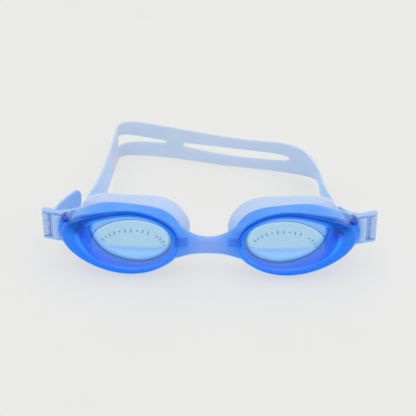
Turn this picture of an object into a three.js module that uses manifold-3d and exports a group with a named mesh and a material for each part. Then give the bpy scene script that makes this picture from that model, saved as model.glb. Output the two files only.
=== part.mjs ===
// Swim goggles standing on a table, as a standalone three.js model.
// Millimetres, +Z up, +X to the right, +Y towards the wearer's head.
// The lens windows face -Y. The origin is under the middle of the whole object, on the table.

import * as THREE from 'three';
import { mergeVertices } from 'three/addons/utils/BufferGeometryUtils.js';
import Module from 'manifold-3d';

const wasm = await Module();
wasm.setup();

// ---------------------------------------------------------------- driving dimensions

const EYE_X = 39.4;              // window centre, out from the nose line
const EYE_Z = 21;                // window centre above the table
const WINDOW = { halfWidth: 22.4, halfHeight: 15.2, thickness: 2.2 };
const WALL = 1.8;                // hard lens wall
const GAP = 0.35;                // clearance between neighbouring pieces
const MIDDLE_Y = 82.35;          // front of the films to the middle of the whole depth
const FILM = { inset: 1.1, thickness: 0.2 };
const PIN = { x: 77.5, y: 22.8, radius: 1.0, low: 15.9, high: 24.4, headRadius: 1.5, headHeight: 1.2 };
const TAB = { radius: 2.0, top: [21.9, 23.3], bottom: [16.3, 17.7] };   // heights of the pin's two ears
const CLIP_TURN = THREE.MathUtils.degToRad(25);   // the clip slants back from the pin
const CLIP = {
  low: 10.6, high: 27.6,         // the clip's lower and upper faces
  arm: 1.2,                      // thickness of its two arms
  middleBar: 5.4, middleBack: 0.6, middleRadius: 1.3,
  endBar: 12.4, endBack: 0.3, endRadius: 2.2,
};
const STRAP = { thickness: 1.4, clipLow: 12.05, clipHigh: 26.15, wrapRadius: 2.3 };
const BUTT_RADIUS = 13.5;        // the strap is divided here, round the clip's pin
const DIVIDE_LEFT = 100;         // the strap is divided here, back from the windows
const DIVIDE_RIGHT = 80;
const RING_STEPS = 48;

// ---------------------------------------------------------------- solids and meshes

// A closed three.js geometry as a solid with its faces pointing out.
function solid(geometry) {
  const plain = new THREE.BufferGeometry();
  plain.setAttribute('position', geometry.getAttribute('position').clone());
  if (geometry.index) plain.setIndex(geometry.index.clone());
  const merged = mergeVertices(plain, 1e-4);
  const xyz = merged.getAttribute('position').array;
  const triangles = [];
  let volume = 0;
  const corner = (i) => new THREE.Vector3().fromArray(xyz, 3 * i);
  for (let i = 0; i < merged.index.count; i += 3) {
    const [a, b, c] = [0, 1, 2].map((k) => merged.index.getX(i + k));
    if (a === b || b === c || c === a) continue;
    triangles.push([a, b, c]);
    volume += corner(a).dot(corner(b).cross(corner(c)));
  }
  const turned = volume < 0 ? triangles.map(([a, b, c]) => [a, c, b]) : triangles;
  return new wasm.Manifold(new wasm.Mesh({
    numProp: 3,
    vertProperties: new Float32Array(xyz),
    triVerts: new Uint32Array(turned.flat()),
  }));
}

function geometryOf(manifold) {
  const mesh = manifold.getMesh();
  const geometry = new THREE.BufferGeometry();
  geometry.setAttribute('position', new THREE.BufferAttribute(mesh.vertProperties, 3));
  geometry.setIndex(new THREE.BufferAttribute(mesh.triVerts, 1));
  return geometry;
}

function mirrored(manifold) {
  return solid(geometryOf(manifold).scale(-1, 1, 1));
}

function block([x0, y0, z0], [x1, y1, z1]) {
  const box = new THREE.BoxGeometry(x1 - x0, y1 - y0, z1 - z0);
  return solid(box.translate((x0 + x1) / 2, (y0 + y1) / 2, (z0 + z1) / 2));
}

// An upright round bar with its ends eased by `ease`.
function upright(x, y, low, high, radius, ease = 0, sides = 24) {
  const eased = [[radius - ease, low], [radius, low + ease], [radius, high - ease], [radius - ease, high]];
  const sharp = [[radius, low], [radius, high]];
  const profile = [[0, low], ...(ease > 0 ? eased : sharp), [0, high]];
  const bar = new THREE.LatheGeometry(profile.map(([r, z]) => new THREE.Vector2(r, z)), sides);
  return solid(bar.rotateX(Math.PI / 2).translate(x, y, 0));
}

// ---------------------------------------------------------------- rings round an eye

// A ring is a function of the turn t, 0 to 1, from the outer corner over the brow to the nose and
// back under the eye. It gives [out, up, back] from the window's centre.
const windowRing = (t) => [
  WINDOW.halfWidth * Math.cos(2 * Math.PI * t), WINDOW.halfHeight * Math.sin(2 * Math.PI * t), 0];
const centreRing = (back) => () => [0, 0, back];

// A smooth ring through twelve points: outer corner, brow, nose, cheek.
function ringThrough(points) {
  const curve = new THREE.CatmullRomCurve3(points.map((p) => new THREE.Vector3(...p)), true);
  return (t) => curve.getPoint(t % 1).toArray();
}

function moved(ring, outwards, backwards) {
  return (t) => {
    const [out, up, back] = ring(t);
    const grow = 1 + outwards / Math.hypot(out, up);
    return [out * grow, up * grow, back + backwards];
  };
}

// A ring at `depth`'s depth plus `more`, on the outline of `ring`.
function atDepthOf(ring, depth, more) {
  return (t) => [ring(t)[0], ring(t)[1], depth(t)[2] + more];
}

// A solid swept round the eye through the given rings. The rings run round a closed section, or
// start and end at the centre.
function ringSolid(rings) {
  const closed = rings[0](0)[0] !== 0;
  const section = closed ? [...rings, rings[0]] : rings;
  const lathe = new THREE.LatheGeometry(section.map(() => new THREE.Vector2(1, 0)), RING_STEPS);
  const position = lathe.getAttribute('position');
  for (let i = 0; i < position.count; i += 1) {
    const step = Math.floor(i / section.length) % RING_STEPS;
    const [out, up, back] = section[i % section.length](step / RING_STEPS);
    position.setXYZ(i, EYE_X + out, back, EYE_Z + up);
  }
  return solid(lathe);
}

// The hard lens: the bevel round its flat window, its shoulder, and its rim drawn out into the wing.
const bevel = ringThrough([
  [29.6, 0, 6], [25.5, 8.3, 4], [13.8, 14, 2.6], [0.5, 15.9, 2.2], [-11.3, 13.7, 1.4], [-19.7, 7.9, 0.9],
  [-22.9, 0, 0.8], [-19.9, -8, 0.9], [-11.6, -13.7, 1], [0.3, -15.9, 1.3], [13, -14.2, 2],
  [25, -8.3, 3.8]]);
const shoulder = ringThrough([
  [38.6, -3, 14.3], [34.2, 6, 11.6], [18, 14.4, 5.2], [1.2, 17, 3.4], [-11.4, 14.6, 2.5], [-20.2, 8.7, 2],
  [-23.7, 0.2, 1.9], [-20.5, -9.1, 2.2], [-11.6, -15.8, 2.6], [0.4, -18.6, 2.8], [15.5, -17.2, 4.4],
  [31, -11.2, 9]]);
const rim = ringThrough([
  [41.2, -3, 19], [38, 3.4, 18.4], [19.5, 13.6, 8.6], [2, 17.3, 4.8], [-11, 14.6, 4], [-20, 9, 3.5],
  [-23.8, 0.5, 3.5], [-20.5, -9.5, 4], [-11.5, -16.6, 4.5], [0.5, -19.8, 5], [17, -18.2, 7.6],
  [34, -12, 13.6]]);

// The soft frame: its seat behind the lens, its lip round the lens, and its widest outline.
const seat = ringThrough([
  [24.5, 0.5, 13], [22.5, 7.5, 11], [13.5, 12.3, 8.6], [1.5, 14, 6.8], [-9.5, 12.3, 5.6], [-17.3, 7.4, 5.2],
  [-20.6, 0.2, 5.2], [-17.8, -7.5, 5.5], [-10, -12.7, 6], [0.5, -14.3, 6.6], [12.5, -11.8, 8.6],
  [20.5, -6.5, 11]]);
const lip = ringThrough([
  [34, 0.5, 20.6], [31, 8.6, 16.2], [18.9, 14.5, 8.6], [2, 17.9, 5.3], [-11.4, 15.2, 4.5], [-20.6, 9.4, 4.1],
  [-24.4, 0.5, 4.1], [-21, -9.8, 4.6], [-11.8, -17, 5.1], [0.5, -20.2, 5.6], [16, -18.2, 8.6],
  [28.5, -9.6, 16.4]]);
const outline = ringThrough([
  [34, 0.5, 22.4], [32, 8.6, 20.6], [18.5, 17, 15], [3, 18.8, 11.5], [-10.5, 17.9, 9.5], [-20.5, 13.6, 8.5],
  [-26.5, 2, 8], [-22, -12, 8.5], [-12, -18.7, 9], [0.5, -21.4, 9.5], [16, -19.3, 12], [29, -11, 18.6]]);

// The gasket's rear rim, which meets the face.
const faceRim = ringThrough([
  [31, 0.5, 29.5], [28.8, 11.3, 28.5], [19.5, 17.2, 27], [4, 17.9, 25.5], [-11, 17.4, 25], [-22.5, 13.2, 24],
  [-29.7, 1.5, 22], [-24.5, -11.5, 23], [-12.5, -17.2, 24.5], [1.5, -18.6, 25.5], [18, -17.2, 27.5],
  [28.8, -10.5, 28.5]]);

// ---------------------------------------------------------------- lens

// An ear of the lens that holds the pin. It reaches forwards into the wing's wall, and widens there.
function pinTab([low, high]) {
  const reach = 5;
  const spread = 2.6;
  const plate = new THREE.Shape();
  plate.absarc(0, 0, TAB.radius, 0, Math.PI, false);
  plate.lineTo(-TAB.radius, -reach);
  plate.lineTo(spread, -reach);
  plate.closePath();
  const options = { depth: high - low, bevelEnabled: false, curveSegments: 12 };
  return solid(new THREE.ExtrudeGeometry(plate, options).translate(PIN.x, PIN.y, low));
}

// The tongue that the lens pushes into the bridge: a short leg back, then a tab towards the nose.
const TONGUE = { tip: 10.5, root: 17.4, leg: 15.8, front: 2.6, step: 5.4, back: 7.2, halfHeight: 2.6 };

function tongue(grow) {
  const [low, high] = [EYE_Z - TONGUE.halfHeight - grow, EYE_Z + TONGUE.halfHeight + grow];
  const open = grow > 0 ? 1.6 : 0;     // the bridge's pocket opens into the eye ring
  const end = [TONGUE.root + open, TONGUE.back + grow, high];
  const leg = block([TONGUE.leg - grow, TONGUE.front, low], end);
  const tab = block([TONGUE.tip - grow, TONGUE.step - grow, low], end);
  return leg.add(tab);
}

function lens() {
  const inShoulder = 1.2;        // the wall's inner face lies this far behind the shoulder
  const inBevel = 1.2;           // and this far inside the bevel and the window's edge
  const inWindow = 1;
  const inner = [
    moved(rim, -WALL, 0), moved(shoulder, -WALL, inShoulder), moved(bevel, -inBevel, WALL),
    moved(windowRing, -inWindow, WINDOW.thickness)];
  const shell = ringSolid([
    centreRing(0), windowRing, bevel, shoulder, rim, ...inner, centreRing(WINDOW.thickness)]);
  const hole = upright(PIN.x, PIN.y, 0, 2 * EYE_Z, PIN.radius + GAP);
  const tabs = pinTab(TAB.top).add(pinTab(TAB.bottom));
  return shell.add(tabs).add(tongue(0)).subtract(hole);
}

function film() {
  const front = -GAP - FILM.thickness;
  const edge = moved(windowRing, -FILM.inset, front);
  return ringSolid([centreRing(front), edge, moved(edge, 0, FILM.thickness), centreRing(-GAP)]);
}

function hingePin() {
  const shank = upright(PIN.x, PIN.y, PIN.low, PIN.high, PIN.radius);
  const head = upright(PIN.x, PIN.y, TAB.top[1] + GAP, PIN.high + PIN.headHeight, PIN.headRadius, 0.4);
  return shank.add(head);
}

// ---------------------------------------------------------------- soft frame with its nose bridge

function eyeFrame() {
  const back = 2;                // the back face lies this far behind the widest outline
  const ease = 1.5;
  return ringSolid([
    seat, lip, outline, moved(outline, -ease, back), atDepthOf(seat, outline, back)]);
}

function bridge() {
  const topEdge = [[-16, 30.3], [-9, 25.2], [0, 22.8], [9, 25.2], [16, 30.3]];
  const bottomEdge = [[16, 10.8], [9, 13.1], [0, 13.8], [-9, 13.1], [-16, 10.8]];
  const [front, depth] = [4.1, 5];
  const face = new THREE.Shape();
  face.moveTo(...topEdge[0]);
  face.splineThru(topEdge.slice(1).map((p) => new THREE.Vector2(...p)));
  face.lineTo(...bottomEdge[0]);
  face.splineThru(bottomEdge.slice(1).map((p) => new THREE.Vector2(...p)));
  face.closePath();
  const options = { depth, bevelEnabled: false, curveSegments: 5 };
  const plate = new THREE.ExtrudeGeometry(face, options);
  return solid(plate.rotateX(Math.PI / 2).translate(0, front + depth, 0));
}

function frameBridge() {
  const eye = eyeFrame();
  const pocket = tongue(GAP);
  const whole = eye.add(mirrored(eye)).add(bridge());
  const foot = block([-100, -10, -5], [100, 60, 0]);     // flat feet under both eyes
  return whole.subtract(pocket).subtract(mirrored(pocket)).subtract(foot);
}

// ---------------------------------------------------------------- gasket

// A tapering neck in the frame's seat, a flare, and a rim whose lip turns in round the eye.
function gasket() {
  const inset = GAP + 0.1;
  const wall = 1.7;
  const neckFront = 2.2;         // the neck starts this far behind the seat's front
  const waistBack = 2.4;         // and leaves the frame this far behind its outline
  const flareAcross = 0.6;       // the flare is this share of the way out to the face rim
  const flareAlong = 0.35;       // and this share of the way back to it
  const lipWidth = 5;
  const lipTop = -0.8;
  const lipUnder = -2.2;
  const lipRoot = { width: 2.5, back: -2.6 };
  const neck = moved(seat, -inset, neckFront);
  const waist = moved(atDepthOf(seat, outline, waistBack), -inset, 0);
  const flare = (t) => {
    const [from, to] = [waist(t), faceRim(t)];
    const shares = [flareAcross, flareAcross, flareAlong];
    return shares.map((share, k) => from[k] + (to[k] - from[k]) * share);
  };
  return ringSolid([
    neck, waist, flare, faceRim,
    moved(faceRim, -lipWidth, lipTop), moved(faceRim, -lipWidth, lipUnder),
    moved(faceRim, -lipRoot.width, lipRoot.back),
    moved(flare, -wall, 0), moved(waist, -wall, 0.6), moved(neck, -wall, 0)]);
}

// ---------------------------------------------------------------- side clip, right hand

// A point of the clip, `out` along it from the pin and `back` square to it.
function clipPoint(out, back) {
  return [
    PIN.x + out * Math.cos(CLIP_TURN) - back * Math.sin(CLIP_TURN),
    PIN.y + out * Math.sin(CLIP_TURN) + back * Math.cos(CLIP_TURN)];
}

function clipBlock([out0, back0, z0], [out1, back1, z1]) {
  const box = new THREE.BoxGeometry(out1 - out0, back1 - back0, z1 - z0);
  box.translate((out0 + out1) / 2, (back0 + back1) / 2, (z0 + z1) / 2);
  return solid(box.rotateZ(CLIP_TURN).translate(PIN.x, PIN.y, 0));
}

const STUB = { radius: 1.1, length: 1.2 };      // the end bar's stubs, held in the clip's arms
const endCentre = clipPoint(CLIP.endBar, CLIP.endBack);
const middleCentre = clipPoint(CLIP.middleBar, CLIP.middleBack);

function endBar() {
  const ease = 0.5;
  const [low, high] = [CLIP.low + CLIP.arm + GAP, CLIP.high - CLIP.arm - GAP];
  const body = upright(...endCentre, low, high, CLIP.endRadius, ease);
  return body.add(upright(...endCentre, low - STUB.length, high + STUB.length, STUB.radius));
}

// The clip: a knuckle on the pin, a post behind it, and two flat arms that hold both bars and a panel.
function sideClip() {
  const [knuckleLow, knuckleHigh] = [TAB.bottom[1] + GAP, TAB.top[0] - GAP];
  const post = { inner: -1.1, outer: 1.5, front: 2.8, back: 4.8 };
  const arm = { front: -0.7, back: 1.9, root: 3.9 };
  const neck = { inner: -0.9, outer: 1.1, back: 3.4 };
  const panel = { inner: 8.85, outer: 9.9, front: 0.1, back: 1.4 };   // closes the gap by the end bar
  const past = 1;                // the bores are cut this far past the faces
  let clip = upright(PIN.x, PIN.y, knuckleLow, knuckleHigh, TAB.radius)
    .add(clipBlock([neck.inner, 0, knuckleLow], [neck.outer, neck.back, knuckleHigh]))
    .add(clipBlock([post.inner, post.front, CLIP.low], [post.outer, post.back, CLIP.high]))
    .add(clipBlock([panel.inner, panel.front, CLIP.low], [panel.outer, panel.back, CLIP.high]))
    .add(upright(...middleCentre, CLIP.low, CLIP.high, CLIP.middleRadius));
  for (const low of [CLIP.low, CLIP.high - CLIP.arm]) {
    const high = low + CLIP.arm;
    clip = clip
      .add(clipBlock([post.inner, post.front, low], [post.outer, post.back, high]))
      .add(clipBlock([post.outer, arm.front, low], [arm.root, post.back, high]))
      .add(clipBlock([post.outer, arm.front, low], [CLIP.endBar, arm.back, high]))
      .add(upright(...endCentre, low, high, CLIP.endRadius));
  }
  const bore = upright(PIN.x, PIN.y, knuckleLow - past, knuckleHigh + past, PIN.radius + GAP);
  const sockets = upright(...endCentre, CLIP.low - past, CLIP.high + past, STUB.radius + GAP);
  return clip.subtract(bore).subtract(sockets);
}

// ---------------------------------------------------------------- strap

// The strap is one flat band between a lower and an upper rail. Each row gives the lower rail's
// [x, y, z] and the upper rail's, from the left clip round the back of the head to the right clip.
const atClip = (out, back, side) => {
  const [x, y] = clipPoint(out, back);
  return [[side * x, y, STRAP.clipLow], [side * x, y, STRAP.clipHigh]];
};
const intoClip = (side) => [
  atClip(3.1, 0.5, side), atClip(2.9, 4, side), atClip(1, 9, side), atClip(-1.6, 14, side)];
const railPairs = [
  ...intoClip(-1),
  [[-66.6, 41, 11.4], [-66.4, 41, 30.2]],
  [[-65, 56, 9.4], [-64.7, 56, 29.2]],
  [[-63.7, 80, 6.9], [-63.4, 80, 26.6]],
  [[-63.5, 108, 4.1], [-63.2, 108, 23.9]],
  [[-63.4, 132, 1.8], [-63.3, 132, 21.8]],
  [[-63, 150, 0], [-63, 152, 22]],
  [[-61.8, 157, 0], [-61.4, 160.5, 22.8]],
  [[-57.5, 160.2, 0], [-57, 163.8, 23]],
  [[-50, 160.5, 0], [-50, 164.3, 22.8]],
  [[-36.6, 159, 0], [-36.5, 161.8, 21.8]],
  [[-17, 154, 0], [-17, 156, 20.8]],
  [[2.3, 147.5, 0.2], [2, 149, 20.4]],
  [[21.4, 142.4, 0.5], [21.2, 141.5, 20.7]],
  [[40, 136.7, 0.8], [38.5, 137.5, 21]],
  [[49, 132.7, 1.3], [47.5, 132.7, 21.5]],
  [[58.5, 127.3, 2], [53.5, 125, 22.4]],
  [[64, 122, 2.6], [57.5, 114.5, 23.5]],
  [[66.5, 112, 3.6], [60.5, 103, 24.5]],
  [[66, 95, 5.4], [62.3, 89, 26]],
  [[65.5, 78, 7.1], [63.3, 74, 27.4]],
  [[65.2, 58, 9.4], [64.4, 57, 28.8]],
  [[66.6, 41, 11.4], [66.4, 41, 30.2]],
  ...intoClip(1).reverse()];
const lowRail = new THREE.CatmullRomCurve3(railPairs.map(([low]) => new THREE.Vector3(...low)));
const highRail = new THREE.CatmullRomCurve3(railPairs.map(([, high]) => new THREE.Vector3(...high)));
const LAST = railPairs.length - 1;
const STEPS_PER_ROW = 3;

// The band from one row to another, between two heights given as shares of its width.
function band(fromRow, toRow, lowShare, highShare, thickness, stepsPerRow) {
  const steps = Math.ceil((toRow - fromRow) * stepsPerRow);
  const geometry = new THREE.BoxGeometry(1, 1, 1, steps, 1, 1);
  const position = geometry.getAttribute('position');
  for (let i = 0; i < position.count; i += 1) {
    const along = position.getX(i) + 0.5;
    const t = (fromRow + along * (toRow - fromRow)) / LAST;
    const share = position.getZ(i) < 0 ? lowShare(along) : highShare(along);
    const point = lowRail.getPoint(t).lerp(highRail.getPoint(t), share);
    const way = lowRail.getTangent(t).lerp(highRail.getTangent(t), share);
    const across = new THREE.Vector3(-way.y, way.x, 0).normalize();
    point.addScaledVector(across, position.getY(i) * thickness);
    position.setXYZ(i, point.x, point.y, Math.max(point.z, 0));
  }
  return solid(geometry);
}

const wholeWidth = [() => 0, () => 1];
const buttCylinder = (side, radius) => upright(side * PIN.x, PIN.y, -10, 60, radius, 0, 64);
const beyond = (low, high) => block([-100, low, -10], [100, high, 60]);

// The two openings at the back of the head, either side of the web that ties the bands together.
// `rows` is where an opening lies along the rails. The left one narrows from its blunt end by the
// corner towards the web, and the right one is a slit, widest in its middle.
const OPENINGS = {
  left: { rows: [9.4, 13.45], half: 0.145, narrows: 0.13, power: 1.2 },
  right: { rows: [13.75, 18.1], half: 0.012, widens: 0.1, power: 0.7 },
};

function backOpenings() {
  const { left, right } = OPENINGS;
  const leftHalf = (along) => left.half - left.narrows * along ** left.power;
  const rightHalf = (along) => right.half + right.widens * Math.sin(Math.PI * along) ** right.power;
  const cut = ({ rows }, half) => {
    const [depth, stepsPerRow] = [8, 4];
    return band(...rows, (along) => 0.5 - half(along), (along) => 0.5 + half(along), depth, stepsPerRow);
  };
  return cut(left, leftHalf).add(cut(right, rightHalf));
}

function strapBack() {
  const whole = band(6, LAST - 5, ...wholeWidth, STRAP.thickness, STEPS_PER_ROW);
  const keepLeft = block([-100, DIVIDE_LEFT + GAP / 2, -10], [0, 200, 60]);
  const keepRight = block([0, DIVIDE_RIGHT + GAP / 2, -10], [100, 200, 60]);
  return whole.subtract(backOpenings()).intersect(keepLeft.add(keepRight));
}

function strapSide(side) {
  const [from, to, divide] = side < 0 ? [1, 8, DIVIDE_LEFT] : [LAST - 8, LAST - 1, DIVIDE_RIGHT];
  const run = band(from, to, ...wholeWidth, STRAP.thickness, STEPS_PER_ROW);
  return run.subtract(buttCylinder(side, BUTT_RADIUS + GAP / 2)).subtract(beyond(divide - GAP / 2, 200));
}

// The strap's turn round the clip's middle bar, with the stretch that leads to it.
function strapTurn(side) {
  const [from, to] = side < 0 ? [0, 3.5] : [LAST - 3.5, LAST];
  const run = band(from, to, ...wholeWidth, STRAP.thickness, STEPS_PER_ROW);
  const lead = run.intersect(buttCylinder(side, BUTT_RADIUS - GAP / 2));
  const half = STRAP.thickness / 2;
  const section = new THREE.Shape();
  section.absarc(0, 0, STRAP.wrapRadius + half, -Math.PI, 0, false);
  section.absarc(0, 0, STRAP.wrapRadius - half, 0, -Math.PI, true);
  section.closePath();
  const height = STRAP.clipHigh - STRAP.clipLow;
  const options = { depth: height, bevelEnabled: false, curveSegments: 16 };
  const turn = new THREE.ExtrudeGeometry(section, options);
  turn.rotateZ(CLIP_TURN).translate(...middleCentre, STRAP.clipLow);
  const right = solid(turn);
  return lead.add(side < 0 ? mirrored(right) : right);
}

// A strap tail, seen from its side: square at the clip, rounded at its free end.
function tailSlab(length, trim) {
  const [low, high] = [STRAP.clipLow + trim, STRAP.clipHigh - trim];
  const corner = 4;
  const face = new THREE.Shape();
  face.moveTo(0, low);
  face.lineTo(length - corner, low);
  face.absarc(length - corner, low + corner, corner, -Math.PI / 2, 0, false);
  face.absarc(length - corner, high - corner, corner, 0, Math.PI / 2, false);
  face.lineTo(0, high);
  face.closePath();
  const options = { depth: STRAP.thickness, bevelEnabled: false, curveSegments: 8 };
  const slab = new THREE.ExtrudeGeometry(face, options).translate(0, 0, -STRAP.thickness / 2);
  return slab.rotateX(Math.PI / 2);
}

// The left tail stands free behind the clip. The right one leans in along the strap.
const TAILS = {
  left: { start: [7.7, 0.95], lean: -8, length: 34, trim: 0.3 },
  right: { start: [7.7, 2.2], lean: 15, length: 21, trim: 1 },
};

function strapTail(side) {
  const { start, lean, length, trim } = side < 0 ? TAILS.left : TAILS.right;
  const heading = CLIP_TURN + THREE.MathUtils.degToRad(90 + lean);
  const slab = solid(tailSlab(length, trim).rotateZ(heading).translate(...clipPoint(...start), 0));
  return side < 0 ? mirrored(slab) : slab;
}

// ---------------------------------------------------------------- assembly

const finish = {
  softBlue: { color: 0x4f8df4, roughness: 0.55 },
  lensBlue: { color: 0x1f6fe8, roughness: 0.08 },
  filmClear: { color: 0xa9d8f5, roughness: 0.2 },
  frosted: { color: 0xbccbe2, roughness: 0.5 },
  strap: { color: 0xafc8ea, roughness: 0.45 },
  clear: { color: 0xd5e2ee, roughness: 0.15 },
};

const goggles = new THREE.Group();
goggles.position.set(0, -MIDDLE_Y, 0);

function place(name, manifold, look) {
  const material = new THREE.MeshStandardMaterial({ ...finish[look], metalness: 0 });
  const mesh = new THREE.Mesh(geometryOf(manifold), material);
  mesh.name = name;
  goggles.add(mesh);
}

place('frame_bridge', frameBridge(), 'softBlue');
place('strap_back', strapBack(), 'strap');
for (const [hand, side] of [['left', -1], ['right', 1]]) {
  const onSide = (manifold) => (side < 0 ? mirrored(manifold) : manifold);
  place(`lens_${hand}`, onSide(lens()), 'lensBlue');
  place(`protective_film_${hand}`, onSide(film()), 'filmClear');
  place(`gasket_${hand}`, onSide(gasket()), 'frosted');
  place(`hinge_pin_${hand}`, onSide(hingePin()), 'lensBlue');
  place(`side_clip_${hand}`, onSide(sideClip()), 'frosted');
  place(`end_bar_${hand}`, onSide(endBar()), 'clear');
  place(`strap_side_${hand}`, strapSide(side), 'strap');
  place(`strap_turn_${hand}`, strapTurn(side), 'strap');
  place(`strap_tail_${hand}`, strapTail(side), 'strap');
}

export default goggles;
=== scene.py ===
"""Swim goggles with a soft one-piece frame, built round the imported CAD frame. Metres, +Z up."""

import math

import bpy
import numpy as np
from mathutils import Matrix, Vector


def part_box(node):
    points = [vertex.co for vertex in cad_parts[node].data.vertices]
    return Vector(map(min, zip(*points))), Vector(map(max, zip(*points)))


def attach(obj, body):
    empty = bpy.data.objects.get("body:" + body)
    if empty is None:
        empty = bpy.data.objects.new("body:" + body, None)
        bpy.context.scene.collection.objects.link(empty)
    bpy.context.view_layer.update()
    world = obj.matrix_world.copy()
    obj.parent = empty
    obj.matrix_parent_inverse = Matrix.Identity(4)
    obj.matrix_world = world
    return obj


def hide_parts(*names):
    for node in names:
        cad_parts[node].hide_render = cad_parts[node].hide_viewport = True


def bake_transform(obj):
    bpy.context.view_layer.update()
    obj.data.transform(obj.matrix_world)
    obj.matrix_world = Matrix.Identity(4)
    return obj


bl_info = {
    "name": "Swim goggles",
    "version": (1, 0, 0),
    "blender": (4, 5, 0),
    "location": "View3D > Sidebar > Goggles",
    "description": "Builds a pair of swim goggles with a split-back strap, piece by piece",
    "category": "Object",
}

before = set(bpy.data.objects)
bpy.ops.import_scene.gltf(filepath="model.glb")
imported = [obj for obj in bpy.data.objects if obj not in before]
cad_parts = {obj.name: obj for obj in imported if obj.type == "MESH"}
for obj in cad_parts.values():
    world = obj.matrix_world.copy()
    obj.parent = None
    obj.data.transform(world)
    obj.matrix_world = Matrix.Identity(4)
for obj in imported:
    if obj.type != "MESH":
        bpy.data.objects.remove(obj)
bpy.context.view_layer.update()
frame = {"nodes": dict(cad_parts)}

MM = 0.001
TAU = 2 * math.pi
HANDS = (("left", -1), ("right", 1))

# ------------------------------------------------------------------ places taken from the CAD model

FILM_GAP = 0.35 * MM                     # between the window and its film
film_low, film_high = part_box("protective_film_right")
pin_low, pin_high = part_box("hinge_pin_right")
clip_low, clip_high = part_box("side_clip_right")
EYE = Vector(((film_low.x + film_high.x) / 2, film_high.y + FILM_GAP, (film_low.z + film_high.z) / 2))
EYE_BACK, EYE_HEIGHT = EYE.y / MM, EYE.z / MM
PIN = (pin_low + pin_high) / 2
CLIP_LOW, CLIP_HIGH = clip_low.z / MM, clip_high.z / MM
PIN_LOW, PIN_HIGH = pin_low.z / MM, pin_high.z / MM
CLIP_TURN = math.radians(25)             # how far the clips are turned back at rest


def eye_point(side, out, up, back):
    """A point out, up and back from the front of one window's centre, in millimetres."""
    return Vector((side * (EYE.x + out * MM), EYE.y + back * MM, EYE.z + up * MM))


def clip_point(side, out, back, height):
    """A point out along one clip from its pin, back square to it, and at a height, in millimetres."""
    x = out * math.cos(CLIP_TURN) - back * math.sin(CLIP_TURN)
    y = out * math.sin(CLIP_TURN) + back * math.cos(CLIP_TURN)
    return Vector((side * (PIN.x + x * MM), PIN.y + y * MM, height * MM))


# ------------------------------------------------------------------ colours


def linear(code):
    """An sRGB hex colour as linear RGBA."""
    parts = [int(code[i : i + 2], 16) / 255 for i in (0, 2, 4)]
    return tuple(c / 12.92 if c <= 0.04045 else ((c + 0.055) / 1.055) ** 2.4 for c in parts) + (1.0,)


def colour_property(name, description, code):
    """A colour that a user can change, from its hex code."""
    return bpy.props.FloatVectorProperty(
        name=name, description=description, default=linear(code), size=4, subtype="COLOR", min=0, max=1)


def length_property(name, description, default, low, high):
    """A length that a user can change, from millimetres."""
    return bpy.props.FloatProperty(
        name=name, description=description, default=default * MM, min=low * MM, max=high * MM,
        unit="LENGTH", precision=4)


class GogglesSizes(bpy.types.PropertyGroup):
    lens_wall: length_property("Lens wall", "Thickness of the hard lens", 1.8, 1, 3)
    film_thickness: length_property("Film", "Thickness of the protective film", 0.2, 0.1, 0.4)
    gasket_wall: length_property("Gasket wall", "Thickness of the face gasket", 1.7, 1, 2.5)
    strap_thickness: length_property("Strap", "Thickness of the strap", 1.4, 0.8, 2)
    camera_distance: length_property("Camera distance", "From the camera to the nose bridge", 560, 100, 5000)


class GogglesColours(bpy.types.PropertyGroup):
    frame: colour_property("Frame", "The soft frame", "60A4FF")
    bridge: colour_property("Bridge", "The thin middle of the nose bridge", "8FB2F4")
    lens: colour_property("Lens", "The lens's wing and skirt", "3086FF")
    # Painted shade: the dark blue painted over the top of the lens's wing, where shade falls.
    lens_painted_shade: colour_property("Lens shade", "The top of the lens's wing", "0050BE")
    window: colour_property("Window", "What the flat window lets through", "E4F8FF")
    bevel: colour_property("Bevel", "What the thick bevel lets through", "D0F2FF")
    film: colour_property("Film", "What the protective film lets through", "FAFCFF")
    ink: colour_property("Ink", "The printed marks on the film", "7C94AE")
    gasket: colour_property("Gasket", "The face gasket", "C2D2EA")
    clip: colour_property("Clip", "The side clip", "A0C5FA")
    bar: colour_property("Bar", "The clip's clear end bar", "C4DCFF")
    strap: colour_property("Strap", "The strap near the lenses", "AACDFF")
    strap_back: colour_property("Strap back", "The strap behind the head", "CBD7E6")


# ------------------------------------------------------------------ shapes


def spline(points, closed):
    """A smooth curve through the points, as a function of the place along it, one unit a point."""
    points = np.array(points, float)
    count = len(points)
    if closed:
        after, before = np.roll(points, -1, 0), np.roll(points, 1, 0)
        system = 4 * np.eye(count) + np.roll(np.eye(count), 1, 0) + np.roll(np.eye(count), -1, 0)
        slopes = np.linalg.solve(system, 3 * (after - before))
    else:
        system = 4 * np.eye(count) + np.eye(count, k=1) + np.eye(count, k=-1)
        system[0, 0] = system[-1, -1] = 2
        padded = np.vstack([points[:1], points, points[-1:]])
        slopes = np.linalg.solve(system, 3 * (padded[2:] - padded[:-2]))

    def at(place):
        if closed:
            place %= count
        i = min(int(place), count - 1 if closed else count - 2)
        j = (i + 1) % count
        s = place - i
        return (
            (1 + 2 * s) * (1 - s) ** 2 * points[i]
            + s * (1 - s) ** 2 * slopes[i]
            + s * s * (3 - 2 * s) * points[j]
            + s * s * (s - 1) * slopes[j])

    return at


def eye_ring(*points):
    """A smooth ring round an eye, as a function of the turn: outer corner, brow, nose, cheek."""
    curve = spline(points, True)
    return lambda turn: curve(turn % 1 * len(points))


def moved(ring, outwards, backwards):
    """The ring moved outwards from the eye's axis and back, in millimetres."""

    def at(turn):
        out, up, back = ring(turn)
        grow = 1 + outwards / math.hypot(out, up)
        return np.array((out * grow, up * grow, back + backwards))

    return at


def at_depth_of(ring, depth, more):
    """The ring drawn level with another, and set back more millimetres behind it."""
    return lambda turn: np.array((*ring(turn)[:2], depth(turn)[2] + more))


def between(a, b, share, sink=0.0):
    """The ring part of the way from a to b, set back by sink times their distance."""

    def at(turn):
        start, end = a(turn), b(turn)
        gap = np.linalg.norm(end - start)
        return start + (end - start) * share + np.array((0, 0, sink * gap))

    return at


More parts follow.
